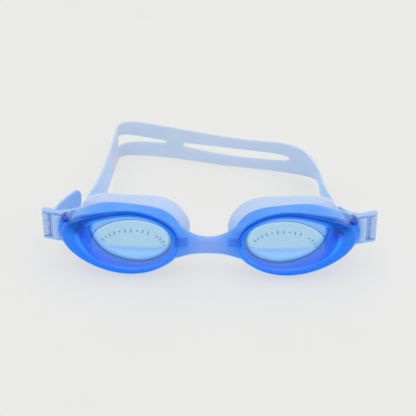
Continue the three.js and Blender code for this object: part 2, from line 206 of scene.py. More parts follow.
def scaled(ring, share):
    """The ring drawn in towards the eye's axis."""
    return lambda turn: ring(turn) * np.array((share, share, 1))


def circle(centre, radius, height):
    """A level ring round an upright axis. centre is in metres, radius and height in millimetres."""

    def at(turn):
        x, y = radius * math.cos(TAU * turn), radius * math.sin(TAU * turn)
        return Vector((centre.x + x * MM, centre.y + y * MM, height * MM))

    return at


def on_eye(side, ring):
    """The ring in its place on one eye."""
    return lambda turn: eye_point(side, *ring(turn))


# ------------------------------------------------------------------ modelling


def select_only(*objects):
    """Leaves edit mode and selects only these objects. The first becomes the active one."""
    if bpy.context.object and bpy.context.object.mode != "OBJECT":
        bpy.ops.object.mode_set(mode="OBJECT")
    bpy.ops.object.select_all(action="DESELECT")
    for obj in objects:
        obj.select_set(True)
        bpy.context.view_layer.objects.active = objects[0]


def face_out(obj):
    """Turns every face outwards."""
    select_only(obj)
    bpy.ops.object.mode_set(mode="EDIT")
    bpy.ops.mesh.select_all(action="SELECT")
    bpy.ops.mesh.normals_make_consistent(inside=False)
    bpy.ops.object.mode_set(mode="OBJECT")


def modify(obj, kind, **settings):
    """Adds one modifier and applies it."""
    select_only(obj)
    modifier = obj.modifiers.new(kind.title(), kind)
    for key, value in settings.items():
        setattr(modifier, key, value)
    bpy.ops.object.modifier_apply(modifier=modifier.name)


def subdivide(obj, levels):
    """Rounds the piece with a subdivision surface."""
    modify(obj, "SUBSURF", levels=levels, render_levels=levels)


def paint(obj, materials, chosen=None):
    """Gives the piece its materials. chosen says which one each of its faces takes."""
    obj.data.materials.clear()
    for material in materials:
        obj.data.materials.append(material)
    for i, polygon in enumerate(obj.data.polygons):
        polygon.material_index = chosen[i] if chosen else 0


def hoop(rings, steps):
    """A closed ring with its section through the given rings, from a torus."""
    select_only()
    count, major = len(rings), 3
    bpy.ops.mesh.primitive_torus_add(
        major_segments=steps, minor_segments=count, major_radius=major, minor_radius=1)
    obj = bpy.context.object
    for vertex in obj.data.vertices:
        x, y, z = vertex.co
        station = round(math.atan2(z, math.hypot(x, y) - major) / TAU * count) % count
        vertex.co = rings[station](math.atan2(y, x) / TAU)
    face_out(obj)
    return obj


def pod(rings, start, end, steps, first_of=None):
    """A closed shape from one end point through the rings to the other, from a sphere. first_of gives the
    material of the faces that start at a ring."""
    select_only()
    count = len(rings) + 1
    bpy.ops.mesh.primitive_uv_sphere_add(segments=steps, ring_count=count, radius=1)
    obj = bpy.context.object
    stations = []
    for vertex in obj.data.vertices:
        x, y, z = vertex.co
        station = round(math.acos(max(-1, min(1, z))) / math.pi * count)
        stations.append(station)
        if station == 0:
            vertex.co = start
        elif station == count:
            vertex.co = end
        else:
            vertex.co = rings[station - 1](math.atan2(y, x) / TAU)
    if first_of:
        for polygon in obj.data.polygons:
            polygon.material_index = first_of(min(stations[i] for i in polygon.vertices))
    face_out(obj)
    return obj


def plate(outline, low, high, bevel):
    """A flat plate with eased edges. outline is a list of points in metres, and low, high and bevel are in
    millimetres."""
    select_only()
    bpy.ops.mesh.primitive_circle_add(vertices=len(outline), fill_type="NGON")
    obj = bpy.context.object
    for vertex, point in zip(obj.data.vertices, outline):
        vertex.co = (point[0], point[1], low * MM)
    bpy.ops.object.mode_set(mode="EDIT")
    bpy.ops.mesh.select_all(action="SELECT")
    bpy.ops.mesh.extrude_region_move(TRANSFORM_OT_translate={"value": (0, 0, (high - low) * MM)})
    bpy.ops.object.mode_set(mode="OBJECT")
    face_out(obj)
    modify(obj, "BEVEL", width=bevel * MM, segments=3, limit_method="ANGLE", angle_limit=math.radians(40))
    return obj


def turned(axis, profile, steps):
    """A shape turned on an upright axis. profile runs from the axis back to it, as pairs of a radius and a
    height in millimetres."""
    start, *rings, end = (circle(axis, radius, height) for radius, height in profile)
    return pod(rings, start(0), end(0), steps)


def ribbon(rows, shares, thickness, holes=()):
    """A flat band from a grid. rows are pairs of a lower and an upper point, shares gives each row's columns
    across the band, and holes are the rows whose middle faces are left out."""
    select_only()
    columns = len(shares(0))
    bpy.ops.mesh.primitive_grid_add(x_subdivisions=len(rows) - 1, y_subdivisions=columns - 1, size=2)
    obj = bpy.context.object
    mesh = obj.data
    places = []
    for vertex in mesh.vertices:
        row = round((vertex.co.x + 1) / 2 * (len(rows) - 1))
        column = round((vertex.co.y + 1) / 2 * (columns - 1))
        places.append((row, column))
        low, high = rows[row]
        vertex.co = low.lerp(high, shares(row)[column])
    if holes:
        middle = columns // 2 - 1
        bpy.ops.object.mode_set(mode="EDIT")
        bpy.ops.mesh.select_mode(type="FACE")
        bpy.ops.mesh.select_all(action="DESELECT")
        bpy.ops.object.mode_set(mode="OBJECT")
        for polygon in mesh.polygons:
            row = min(places[i][0] for i in polygon.vertices)
            column = min(places[i][1] for i in polygon.vertices)
            polygon.select = row in holes and column == middle
        bpy.ops.object.mode_set(mode="EDIT")
        bpy.ops.mesh.delete(type="FACE")
        bpy.ops.object.mode_set(mode="OBJECT")
    modify(obj, "SOLIDIFY", thickness=thickness * MM, offset=0, use_even_offset=True)
    return obj


def keep_ends_square(obj, ends):
    """Creases the edges at the ends of a band, so that its neighbours butt against it. Each end is a point
    on the band's middle line and the way that the line runs there."""
    near, reach = 0.2 * MM, 20 * MM
    mesh = obj.data
    crease = mesh.attributes.new("crease_edge", "FLOAT", "EDGE")
    for edge in mesh.edges:
        first, second = (mesh.vertices[i].co for i in edge.vertices)
        middle = (first + second) / 2
        along = abs((first - second).dot(ends[0][1]))
        for point, way in ends:
            if abs((middle - point).dot(way)) < near and along < near and (middle - point).length < reach:
                crease.data[edge.index].value = 1.0


def joined(parts):
    """The parts as one object."""
    select_only(*parts)
    bpy.ops.object.join()
    return parts[0]


def finish(obj, name, nodes, body=None, angle=35):
    """Names the piece, smooths it, puts it on the body that it rides on, and hides the CAD parts that it
    stands for.
    """
    select_only(obj)
    obj.name = obj.data.name = name
    bpy.ops.object.shade_smooth_by_angle(angle=math.radians(angle))
    if body:
        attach(obj, body)
    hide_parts(*nodes)
    return obj


# ------------------------------------------------------------------ materials

SHADER = "Principled BSDF"


def feed(tree, socket, value):
    """Links an output to the socket, or sets the socket's own value."""
    if isinstance(value, bpy.types.NodeSocket):
        tree.links.new(value, socket)
    else:
        socket.default_value = value


def node(tree, kind, inputs, **settings):
    """Adds one node with its settings. inputs holds a value or an output to link for each named input."""
    made = tree.nodes.new(kind)
    for key, value in settings.items():
        setattr(made, key, value)
    for key, value in inputs.items():
        feed(tree, made.inputs[key], value)
    return made


def ramp(tree, axis, start, end, mirrored=False):
    """0 to 1 from start to end along one axis of the goggles, in millimetres. A mirrored one counts X from
    the nose line to both sides."""
    place = node(tree, "ShaderNodeTexCoord", {}).outputs["Object"]
    if mirrored:
        place = node(tree, "ShaderNodeVectorMath", {0: place}, operation="ABSOLUTE").outputs["Vector"]
    parts = node(tree, "ShaderNodeSeparateXYZ", {"Vector": place})
    ends = {"Value": parts.outputs[axis], "From Min": start * MM, "From Max": end * MM}
    return node(tree, "ShaderNodeMapRange", ends, interpolation_type="SMOOTHSTEP").outputs["Result"]


def product(tree, *shares):
    """All the shares multiplied together."""
    total, *rest = shares
    for share in rest:
        total = node(tree, "ShaderNodeMath", {0: total, 1: share}, operation="MULTIPLY").outputs["Value"]
    return total


def coated(tree, colour, *coats):
    """A colour under coats, each with the share that it covers and its own colour."""
    for share, coat in coats:
        colour = node(tree, "ShaderNodeMix", {0: share, 6: colour, 7: coat}, data_type="RGBA").outputs[2]
    return colour


def mottled(tree, size, colour, other, amount):
    """A faint, cloudy change of colour, size millimetres across."""
    place = node(tree, "ShaderNodeTexCoord", {}).outputs["Object"]
    cloud = node(tree, "ShaderNodeTexNoise", {"Vector": place, "Scale": 1 / (size * MM), "Detail": 3})
    levels = {"Value": cloud.outputs[0], "From Min": 0.3, "From Max": 0.7, "To Max": amount}
    return coated(tree, colour, (node(tree, "ShaderNodeMapRange", levels).outputs["Result"], other))


def grained(tree, size, height, strength):
    """A fine moulded grain, size millimetres across and height millimetres deep."""
    place = node(tree, "ShaderNodeTexCoord", {}).outputs["Object"]
    grain = node(tree, "ShaderNodeTexNoise", {"Vector": place, "Scale": 1 / (size * MM), "Detail": 4})
    relief = {"Height": grain.outputs[0], "Distance": height * MM, "Strength": strength}
    feed(tree, tree.nodes[SHADER].inputs["Normal"], node(tree, "ShaderNodeBump", relief).outputs["Normal"])


def painted_wing_shade(tree, low, high, start, end):
    """0 to 1 between two heights above the window's centre, times 0 to 1 from start to end along X, in
    millimetres from the nose line: the mask of the painted shade on the upper part of a wing."""
    height = ramp(tree, "Z", EYE_HEIGHT + low, EYE_HEIGHT + high)
    return product(tree, height, ramp(tree, "X", start, end, mirrored=True))


def see_through(tree, colour, gloss):
    """Lets light straight through a thin clear wall, tinted, with a share of the shader's own surface."""
    clear = node(tree, "ShaderNodeBsdfTransparent", {"Color": colour})
    sides = {0: gloss, 1: clear.outputs[0], 2: tree.nodes[SHADER].outputs[0]}
    both = node(tree, "ShaderNodeMixShader", sides)
    feed(tree, tree.nodes["Material Output"].inputs["Surface"], both.outputs[0])


def surface(name, sockets, grain=None):
    """Turns a function that gives a base colour into one that finds or makes a whole material. sockets holds
    its shader's constants, and grain the size, height and strength of its moulded grain."""

    def wrap(base_colour):
        def material(colours):
            made = bpy.data.materials.get(name)
            if made:
                return made
            made = bpy.data.materials.new(name)
            made.use_nodes = True
            tree = made.node_tree
            shader = tree.nodes[SHADER]
            for socket, value in sockets.items():
                shader.inputs[socket].default_value = value
            feed(tree, shader.inputs["Base Color"], base_colour(tree, colours))
            if grain:
                grained(tree, *grain)
            return made

        return material

    return wrap


@surface(
    "translucent blue elastomer",
    {"Roughness": 0.42, "IOR": 1.45, "Specular IOR Level": 0.2, "Subsurface Weight": 1.0,
     "Subsurface Scale": 0.003, "Subsurface Radius": (0.5, 0.8, 1.0)}, (0.5, 0.02, 0.35))
def frame_elastomer(tree, colours):
    """Thermoplastic elastomer, injection moulded and satin. Light soaks in, so thin parts look paler."""
    body = mottled(tree, 9, tuple(colours.frame), linear("6AABFF"), 0.6)
    rear = ramp(tree, "Y", EYE_BACK + 9, EYE_BACK + 19)
    thin = ramp(tree, "X", 15, 2, mirrored=True)
    # The lenses' tongues show through the bridge as darker patches.
    sides = (
        ("X", 9.5, 11.5), ("X", 18, 16.5), ("Z", EYE_HEIGHT - 3.6, EYE_HEIGHT - 1.6),
        ("Z", EYE_HEIGHT + 3.6, EYE_HEIGHT + 1.6))
    tongue = product(tree, 0.5, *(ramp(tree, *side, mirrored=True) for side in sides))
    return coated(
        tree, body, (rear, linear("7CAFFF")), (thin, tuple(colours.bridge)), (tongue, linear("2468E0")))


@surface(
    "clear blue polycarbonate", {"Roughness": 0.03, "IOR": 1.58, "Specular IOR Level": 0.4},
    (6, 0.01, 0.15))
def window_polycarbonate(tree, colours):
    """Polycarbonate window, moulded against a polished tool: clear, glossy and faintly blue."""
    tint = mottled(tree, 12, tuple(colours.window), linear("DDF3FF"), 0.6)
    see_through(tree, tint, 0.07)
    return coated(tree, tint, (0.7, linear("4AA6FA")))


@surface(
    "tinted polycarbonate bevel", {"Roughness": 0.05, "IOR": 1.58, "Specular IOR Level": 0.3},
    (4, 0.01, 0.15))
def bevel_polycarbonate(tree, colours):
    """The same polycarbonate in the thick bevel round the window, where its tint is deeper."""
    height = ramp(tree, "Z", EYE_HEIGHT - 4, EYE_HEIGHT + 14)
    # Painted shade: the shaded top of the wing, as seen through the bevel's upper outer part, is painted into
    # its tint.
    shade = painted_wing_shade(tree, -1, 5, 63, 68)
    tint = coated(tree, tuple(colours.bevel), (height, linear("D4EEFF")), (shade, linear("3F7FE0")))
    see_through(tree, tint, 0.22)
    return mottled(tree, 5, linear("3B8CFF"), linear("5AA0FF"), 0.5)


@surface(
    "deep blue polycarbonate", {"Roughness": 0.12, "IOR": 1.58, "Specular IOR Level": 0.06},
    (3, 0.02, 0.2))
def wing_polycarbonate(tree, colours):
    """The same polycarbonate in front of the blue frame, where no light comes through: deep and glossy.
    Its top is darkened with painted shade.
    """
    # Painted shade: the top of the wing is blended towards the dark shade colour.
    body = coated(tree, tuple(colours.lens), (painted_wing_shade(tree, -1, 7, 79, 73), tuple(colours.lens_painted_shade)))
    return mottled(tree, 5, body, linear("2F7BF2"), 0.3)


# Painted light: this material's emission is a painted glow.
@surface(
    "blue polycarbonate with painted glow",
    {"Roughness": 0.15, "IOR": 1.58, "Specular IOR Level": 0.06, "Emission Strength": 0.36}, (3, 0.02, 0.2))
def skirt_polycarbonate(tree, colours):
    """The inside of the lens's skirt. Light that runs along inside the clear wall makes it glow faintly; that
    glow is painted light, an emission, and its top is darkened with painted shade.
    """
    # Painted shade on the top of the skirt's inside, which darkens both its colour and its painted glow.
    shade = painted_wing_shade(tree, -1, 6, 60, 67)
    glow = coated(tree, linear("3CAEFF"), (shade, linear("00388C")))
    feed(tree, tree.nodes[SHADER].inputs["Emission Color"], glow)
    body = mottled(tree, 5, linear("34A0FF"), linear("50B0FF"), 0.5)
    return coated(tree, body, (shade, tuple(colours.lens_painted_shade)))


@surface(
    "clear polyethylene film", {"Roughness": 0.08, "IOR": 1.5, "Specular IOR Level": 0.3},
    (4, 0.01, 0.2))
def film_polyethylene(tree, colours):
    """Thin polyethylene film, blown and clear, with a slight haze."""
    see_through(tree, tuple(colours.film), 0.05)
    return mottled(tree, 5, linear("DCEFFC"), linear("C8E4FA"), 0.8)


@surface("grey-blue print ink", {"Roughness": 0.6})
def print_ink(tree, colours):
    """Matt ink, screen printed on the film."""
    return mottled(tree, 0.6, tuple(colours.ink), linear("87A6C6"), 0.8)


@surface(
    "frosted silicone gasket",
    {"Roughness": 0.5, "IOR": 1.41, "Specular IOR Level": 0.3, "Subsurface Weight": 1.0,
     "Subsurface Scale": 0.0035, "Subsurface Radius": (0.8, 0.9, 1.0)}, (0.4, 0.02, 0.3))
def gasket_silicone(tree, colours):
    """Liquid silicone rubber, moulded with a frosted skin: soft edges and a milky depth."""
    return mottled(tree, 8, tuple(colours.gasket), linear("C6D2E6"), 0.7)


# Painted light: the gasket's inside faces take this paler copy of its silicone, with a faint emission for a
# painted glow.
@surface(
    "smooth silicone with painted glow",
    {"Roughness": 0.3, "IOR": 1.41, "Specular IOR Level": 0.3, "Emission Color": linear("DCE8F6"),
     "Emission Strength": 0.12}, (0.6, 0.01, 0.2))
def gasket_inside_painted_glow(tree, _):
    """The gasket's smooth inner skin, painted paler and given a faint emission: painted light for the light
    that soaks in through its thin wall.
    """
    return mottled(tree, 8, linear("EAF3FF"), linear("DEEAF8"), 0.8)


@surface("deep blue acetal", {"Roughness": 0.25, "IOR": 1.48, "Coat Weight": 0.3}, (0.3, 0.01, 0.2))
def pin_acetal(tree, _):
    """Blue acetal pin, turned and smooth."""
    return mottled(tree, 1.5, linear("0A4FC4"), linear("1E66DC"), 0.8)


@surface(
    "milky blue polypropylene", {"Roughness": 0.35, "IOR": 1.49, "Specular IOR Level": 0.25},
    (0.4, 0.02, 0.25))
def clip_polypropylene(tree, colours):
    """Natural polypropylene, injection moulded: milky and satin."""
    return mottled(tree, 4, tuple(colours.clip), linear("B2CBF2"), 0.7)


@surface("clear acrylic", {"Roughness": 0.08, "IOR": 1.49, "Transmission Weight": 0.25}, (1.2, 0.03, 0.3))
def bar_acrylic(_, colours):
    """Clear acrylic rod, moulded: glassy, with a faint swirl."""
    return tuple(colours.bar)


@surface(
    "frosted silicone strap",
    {"Roughness": 0.45, "IOR": 1.41, "Specular IOR Level": 0.3, "Subsurface Weight": 0.8,
     "Subsurface Scale": 0.002, "Subsurface Radius": (0.8, 0.9, 1.0)}, (0.45, 0.02, 0.3))
def strap_silicone(tree, colours):
    """Silicone rubber sheet, moulded flat with a frosted skin. Near the lenses it is painted bluer, for the
    blue light that they throw on it: painted light.
    """
    # Painted light: bluer towards the lenses, for the light that they throw on the strap.
    body = coated(tree, tuple(colours.strap), (ramp(tree, "Y", -25, 75), tuple(colours.strap_back)))
    return mottled(tree, 10, body, linear("CBD7EA"), 0.35)


@surface(
    "opal acrylic light panel",
    {"Roughness": 0.9, "Specular IOR Level": 0.05, "Emission Color": linear("EBEBE8"),
     "Emission Strength": 0.68}, (1.5, 0.05, 0.1))
def floor_acrylic(tree, _):
    """Opal acrylic light panel, matt and evenly lit from below, so that it shows hardly any shadow."""
    return mottled(tree, 90, linear("8A8A88"), linear("8E8E8C"), 1.0)


# ------------------------------------------------------------------ rings of the eye cup, in millimetres

WINDOW_HALF = (22.4, 15.2)
WINDOW_THICKNESS = 2.2


def window(turn):
    """The edge of the flat window."""
    return np.array((WINDOW_HALF[0] * math.cos(TAU * turn), WINDOW_HALF[1] * math.sin(TAU * turn), 0))


bevel_ring = eye_ring(
    (29.6, 0, 6), (25.5, 8.3, 4), (13.8, 14, 2.6), (0.5, 15.9, 2.2), (-11.3, 13.7, 1.4),
    (-19.7, 7.9, 0.9), (-22.9, 0, 0.8), (-19.9, -8, 0.9), (-11.6, -13.7, 1), (0.3, -15.9, 1.3),
    (13, -14.2, 2), (25, -8.3, 3.8))
shoulder = eye_ring(
    (38.6, -3, 14.3), (34.2, 6, 11.6), (18, 14.4, 5.2), (1.2, 17, 3.4), (-11.4, 14.6, 2.5),
    (-20.2, 8.7, 2), (-23.7, 0.2, 1.9), (-20.5, -9.1, 2.2), (-11.6, -15.8, 2.6), (0.4, -18.6, 2.8),
    (15.5, -17.2, 4.4), (31, -11.2, 9))
rim = eye_ring(
    (41.2, -3, 19), (38, 3.4, 18.4), (19.5, 13.6, 8.6), (2, 17.3, 4.8), (-11, 14.6, 4), (-20, 9, 3.5),
    (-23.8, 0.5, 3.5), (-20.5, -9.5, 4), (-11.5, -16.6, 4.5), (0.5, -19.8, 5), (17, -18.2, 7.6),
    (34, -12, 13.6))
seat = eye_ring(
    (24.5, 0.5, 13), (22.5, 7.5, 11), (13.5, 12.3, 8.6), (1.5, 14, 6.8), (-9.5, 12.3, 5.6),
    (-17.3, 7.4, 5.2), (-20.6, 0.2, 5.2), (-17.8, -7.5, 5.5), (-10, -12.7, 6), (0.5, -14.3, 6.6),
    (12.5, -11.8, 8.6), (20.5, -6.5, 11))
lip = eye_ring(
    (34, 0.5, 20.6), (31, 8.6, 16.2), (18.9, 14.5, 8.6), (2, 17.9, 5.3), (-11.4, 15.2, 4.5),
    (-20.6, 9.4, 4.1), (-24.4, 0.5, 4.1), (-21, -9.8, 4.6), (-11.8, -17, 5.1), (0.5, -20.2, 5.6),
    (16, -18.2, 8.6), (28.5, -9.6, 16.4))
outline = eye_ring(
    (34, 0.5, 22.4), (32, 8.6, 20.6), (18.5, 17, 15), (3, 18.8, 11.5), (-10.5, 17.9, 9.5),
    (-20.5, 13.6, 8.5), (-26.5, 2, 8), (-22, -12, 8.5), (-12, -18.7, 9), (0.5, -21.4, 9.5),
    (16, -19.3, 12), (29, -11, 18.6))
face_rim = eye_ring(
    (31, 0.5, 29.5), (28.8, 11.3, 28.5), (19.5, 17.2, 27), (4, 17.9, 25.5), (-11, 17.4, 25),
    (-22.5, 13.2, 24), (-29.7, 1.5, 22), (-24.5, -11.5, 23), (-12.5, -17.2, 24.5), (1.5, -18.6, 25.5),
    (18, -17.2, 27.5), (28.8, -10.5, 28.5))
EYE_STEPS = 64
LENS_EARS = ((16.3, 17.7), (21.9, 23.3))       # the heights of the lens's two ears on the pin
KNUCKLE_LOW, KNUCKLE_HIGH = 18.05, 21.55       # the clip's knuckle between them


# ------------------------------------------------------------------ operators


def settings(context):
    """The sizes and colours that are set in the scene."""
    return context.scene.goggles_sizes, context.scene.goggles_colours


class BuildFrame(bpy.types.Operator):
    """Soft one-piece frame: two eye frames fused with the nose bridge"""

    bl_idname = "goggles.frame"
    bl_label = "Soft frame"

    def execute(self, context):
        _, colours = settings(context)
        section = [
            seat, between(seat, lip, 0.5), lip, between(lip, outline, 0.5), outline,
            moved(outline, -0.3, 1.2), moved(outline, -1.5, 2), at_depth_of(seat, outline, 2)]
        parts = [hoop([on_eye(side, ring) for ring in section], EYE_STEPS * 2) for _, side in HANDS]
        parts.append(self.bridge())
        body = joined(parts)
        # The remesh fuses the three parts, and the smoothing leaves soft hollows where they meet.
        modify(body, "REMESH", mode="VOXEL", voxel_size=0.42 * MM)
        modify(body, "SMOOTH", factor=0.5, iterations=8)
        for vertex in body.data.vertices:
            vertex.co.z = max(vertex.co.z, 0)
        paint(body, [frame_elastomer(colours)])
        finish(body, "goggle_frame", ["frame_bridge"], "goggles", 60)
        return {"FINISHED"}

    def bridge(self):
        """The bridge: tall at the eye frames, and waisted in the middle."""
        top = spline([(0, 31), (1, 30.3), (2, 25.2), (3, 22.8), (4, 25.2), (5, 30.3), (6, 31)], False)
        bottom = spline([(0, 10.8), (1, 10.8), (2, 13.1), (3, 13.8), (4, 13.1), (5, 10.8), (6, 10.8)], False)
        across = (-18, -16, -9, 0, 9, 16, 18)
        front, back = 4.1, 9.1
        middle = (front + back) / 2
        where = spline([(x, 0) for x in across], False)

        def bulge(share):
            """A cosine or sine drawn out towards a square's corners."""
            return math.copysign(abs(share) ** 0.55, share)

        def section(place):
            x, high, low = where(place)[0], top(place)[1], bottom(place)[1]

            def at(turn):
                y = EYE_BACK + middle + bulge(math.cos(TAU * turn)) * (back - front) / 2
                z = (high + low) / 2 + bulge(math.sin(TAU * turn)) * (high - low) / 2
                return Vector((x, y, z)) * MM

            return at

        ends = [Vector((x * MM, EYE.y + middle * MM, EYE.z)) for x in (across[0], across[-1])]
        return pod([section(place) for place in np.linspace(0.05, 5.95, 24)], *ends, 32)


class BuildLenses(bpy.types.Operator):
    """Hard lenses with a flat window, a clear bevel, and a wing drawn back to the pin"""

    bl_idname = "goggles.lenses"
    bl_label = "Lenses"

    def execute(self, context):
        sizes, colours = settings(context)
        wall = sizes.lens_wall / MM
        outer = [
            scaled(window, 0.5), scaled(window, 0.9), moved(window, -0.35, 0), moved(window, 0, 0.02),
            moved(window, 0.15, 0.4), between(window, bevel_ring, 0.2, 0.05),
            between(window, bevel_ring, 0.55), between(window, bevel_ring, 0.9), bevel_ring]
        skirt = [
            between(bevel_ring, shoulder, 0.1, 0.1), between(bevel_ring, shoulder, 0.3, 0.1),
            between(bevel_ring, shoulder, 0.7, 0.02), between(bevel_ring, shoulder, 0.93), shoulder,
            between(shoulder, rim, 0.1), between(shoulder, rim, 0.5), between(shoulder, rim, 0.94), rim]
        inner = [
            moved(rim, -0.5 * wall, 0.25), moved(rim, -wall, 0), moved(shoulder, -wall, 1.2),
            moved(bevel_ring, -1.2, wall), moved(window, -1, WINDOW_THICKNESS),
            moved(window, -2, WINDOW_THICKNESS), moved(scaled(window, 0.5), 0, WINDOW_THICKNESS)]
        window_edge, bevel_start, skirt_start = 4, 5, len(outer) + 2
        rim_end = len(outer) + len(skirt)
        back_of_bevel, back_of_window = rim_end + 4, rim_end + 5

        def look(station):
            """The faces from one ring to the next: 0 window, 1 wing, 2 bevel and 3 the skirt's inside."""
            if station == window_edge or skirt_start <= station < rim_end:
                return 1
            if rim_end <= station < back_of_bevel:
                return 3
            return 2 if bevel_start <= station < back_of_window else 0

        materials = [
            window_polycarbonate(colours), wing_polycarbonate(colours), bevel_polycarbonate(colours),
            skirt_polycarbonate(colours)]
        for hand, side in HANDS:
            rings = [on_eye(side, ring) for ring in outer + skirt + inner]
            ends = eye_point(side, 0, 0, 0), eye_point(side, 0, 0, WINDOW_THICKNESS)
            shell = pod(rings, *ends, EYE_STEPS, look)
            subdivide(shell, 2)
            kept = [polygon.material_index for polygon in shell.data.polygons]
            paint(shell, materials, kept)
            parts = [shell, *self.tabs(side), self.tongue(side), *self.ribs(side)]
            for part in parts[1:]:
                paint(part, materials, [1] * len(part.data.polygons))
            finish(joined(parts), f"lens_{hand}", [f"lens_{hand}"], "goggles")
        return {"FINISHED"}

    def tabs(self, side):
        """Two ears that hold the pin."""
        rounded = [(2 * math.cos(a), 2 * math.sin(a)) for a in np.linspace(0, math.pi, 15)]
        shape = [*rounded, (-2, -5), (2.6, -5)]
        points = [(side * (PIN.x + x * MM), PIN.y + y * MM) for x, y in shape]
        return [plate(points, low, high, 0.25) for low, high in reversed(LENS_EARS)]

    def tongue(self, side):
        """The tongue that holds the lens in the bridge."""
        shape = [(17.4, 2.8), (17.4, 7.2), (10.5, 7.2), (10.5, 5.4), (15.8, 5.4), (15.8, 2.8)]
        points = [(side * x * MM, EYE.y + y * MM) for x, y in shape]
        return plate(points, EYE_HEIGHT - 2.6, EYE_HEIGHT + 2.6, 0.2)

    def ribs(self, side):
        """A row of fine grip ribs under the window's lower edge."""
        ribs = []
        half_row, half_width = 12.6, 0.16
        for x in np.linspace(-half_row, half_row, 15):
            edge = EYE_HEIGHT - WINDOW_HALF[1] * math.sqrt(1 - (x / WINDOW_HALF[0]) ** 2)
            left, right = side * EYE.x + (x - half_width) * MM, side * EYE.x + (x + half_width) * MM
            front, back = EYE.y - 0.1 * MM, EYE.y + 0.2 * MM
            points = [(left, front), (right, front), (right, back), (left, back)]
            ribs.append(plate(points, edge + 0.7, edge + 2.2, 0.06))
        return ribs


class BuildFilms(bpy.types.Operator):
    """Clear protective films with two groups of plain printed marks"""

    bl_idname = "goggles.films"
    bl_label = "Protective films"

    def execute(self, context):
        sizes, colours = settings(context)
        front, back = -(FILM_GAP + sizes.film_thickness) / MM, -FILM_GAP / MM
        materials = [film_polyethylene(colours), print_ink(colours)]
        for hand, side in HANDS:
            rings = [
                moved(scaled(window, 0.5), 0, front), moved(window, -1.2, front),
                moved(window, -1.1, front + 0.1), moved(window, -1.2, back),
                moved(scaled(window, 0.5), 0, back)]
            ends = eye_point(side, 0, 0, front), eye_point(side, 0, 0, back)
            sheet = pod([on_eye(side, ring) for ring in rings], *ends, 128)
            paint(sheet, materials)
            marks = self.marks(side, front)
            for mark in marks:
                paint(mark, materials, [1] * len(mark.data.polygons))
            film = joined([sheet, *marks])
            finish(film, f"clear_film_{hand}", [f"protective_film_{hand}"], "goggles")
        return {"FINISHED"}

    def marks(self, side, front):
        """Short upright dashes and dots along an arc, ten of them and then four."""
        made = []
        wide, tall, drop = 16.8, 9.6, 0.4        # the arc's half width, its height, and how far it hangs
        dot, dash, thickness = (0.5, 0.5), (0.34, 1.3), 0.04
        for i, degrees in enumerate([*np.linspace(154, 60, 10), *np.linspace(40, 8, 4)]):
            angle = math.radians(degrees)
            x, z = wide * math.cos(angle), tall * math.sin(angle) - drop
            half_width, half_height = dot if i % 3 == 1 else dash
            tilt = math.atan2(tall * math.cos(angle), -wide * math.sin(angle)) - math.pi
            select_only()
            bpy.ops.mesh.primitive_cylinder_add(vertices=12, radius=1, depth=1)
            mark = bpy.context.object
            for vertex in mark.data.vertices:
                across, along = vertex.co.x * half_width, vertex.co.y * half_height
                out = x + across * math.cos(tilt) - along * math.sin(tilt)
                up = z + across * math.sin(tilt) + along * math.cos(tilt)
                depth = front - 0.01 + vertex.co.z * thickness
                vertex.co = Vector((side * EYE.x + out * MM, EYE.y + depth * MM, EYE.z + up * MM))
            face_out(mark)
            made.append(mark)
        return made


class BuildGaskets(bpy.types.Operator):
    """Frosted silicone face gaskets behind the frame"""

    bl_idname = "goggles.gaskets"
    bl_label = "Gaskets"

    def execute(self, context):
        sizes, colours = settings(context)
        wall = sizes.gasket_wall / MM
        inset = 0.45                             # how far the gasket stands clear of the frame's seat
        neck = moved(seat, -inset, 2.2)
        waist = moved(at_depth_of(seat, outline, 2.4), -inset, 0)

        def flare_at(flat, deep):
            """The waist drawn part of the way to the rim, outwards and in depth."""
            return lambda turn: waist(turn) + (face_rim(turn) - waist(turn)) * np.array((flat, flat, deep))

        flare = flare_at(0.6, 0.35)
        section = [
            neck, moved(neck, 0, 0.6), between(neck, waist, 0.6), waist, flare_at(0.42, 0.12), flare,
            flare_at(0.86, 0.72), face_rim, moved(face_rim, -0.9, 0.1), moved(face_rim, -4.6, -0.7),
            moved(face_rim, -5, -1.5), moved(face_rim, -4.4, -2.2), moved(face_rim, -wall - 0.8, -2.6),
            moved(flare, -wall, 0), moved(waist, -wall, 0.6), moved(neck, -wall, 0.6), moved(neck, -wall, 0)]
        for hand, side in HANDS:
            cup = hoop([on_eye(side, ring) for ring in section], EYE_STEPS)
            subdivide(cup, 2)
            # The faces inside the cup take the paler, faintly glowing copy: painted light.
            painted_glow_faces = [self.faces_eye(side, polygon) for polygon in cup.data.polygons]
            paint(cup, [gasket_silicone(colours), gasket_inside_painted_glow(colours)], painted_glow_faces)
            finish(cup, f"face_gasket_{hand}", [f"gasket_{hand}"], "goggles", 60)
        return {"FINISHED"}

    def faces_eye(self, side, polygon):
        """1 for a face on the inside of the cup."""
        outwards = polygon.center - Vector((side * EYE.x, 0, EYE.z))
        return int(outwards.x * polygon.normal.x + outwards.z * polygon.normal.z < 0)


class BuildPins(bpy.types.Operator):
    """Hinge pins with a domed head"""

    bl_idname = "goggles.pins"
    bl_label = "Hinge pins"

    def execute(self, context):
        _, colours = settings(context)
        head = PIN_HIGH - 1.95
        profile = [
            (0, PIN_LOW), (0.7, PIN_LOW), (0.95, PIN_LOW + 0.2), (1.0, PIN_LOW + 0.5), (1.0, head),
            (1.4, head + 0.02), (1.5, head + 0.2), (1.5, PIN_HIGH - 0.7), (1.3, PIN_HIGH - 0.25),
            (0.8, PIN_HIGH - 0.02), (0, PIN_HIGH)]
        for hand, side in HANDS:
            pin = turned(Vector((side * PIN.x, PIN.y, 0)), profile, 32)
            paint(pin, [pin_acetal(colours)])
            finish(pin, f"pin_{hand}", [f"hinge_pin_{hand}"], "goggles", 50)
        return {"FINISHED"}


# The clip's end bar and middle bar: how far out from the pin, how far behind it, and their radii, in
# millimetres.
END_OUT, END_BACK, END_RADIUS = 12.4, 0.3, 2.2
BAR_OUT, BAR_BACK, BAR_RADIUS = 5.4, 0.6, 1.3
ARM = 1.2                                        # thickness of the clip's two flat arms


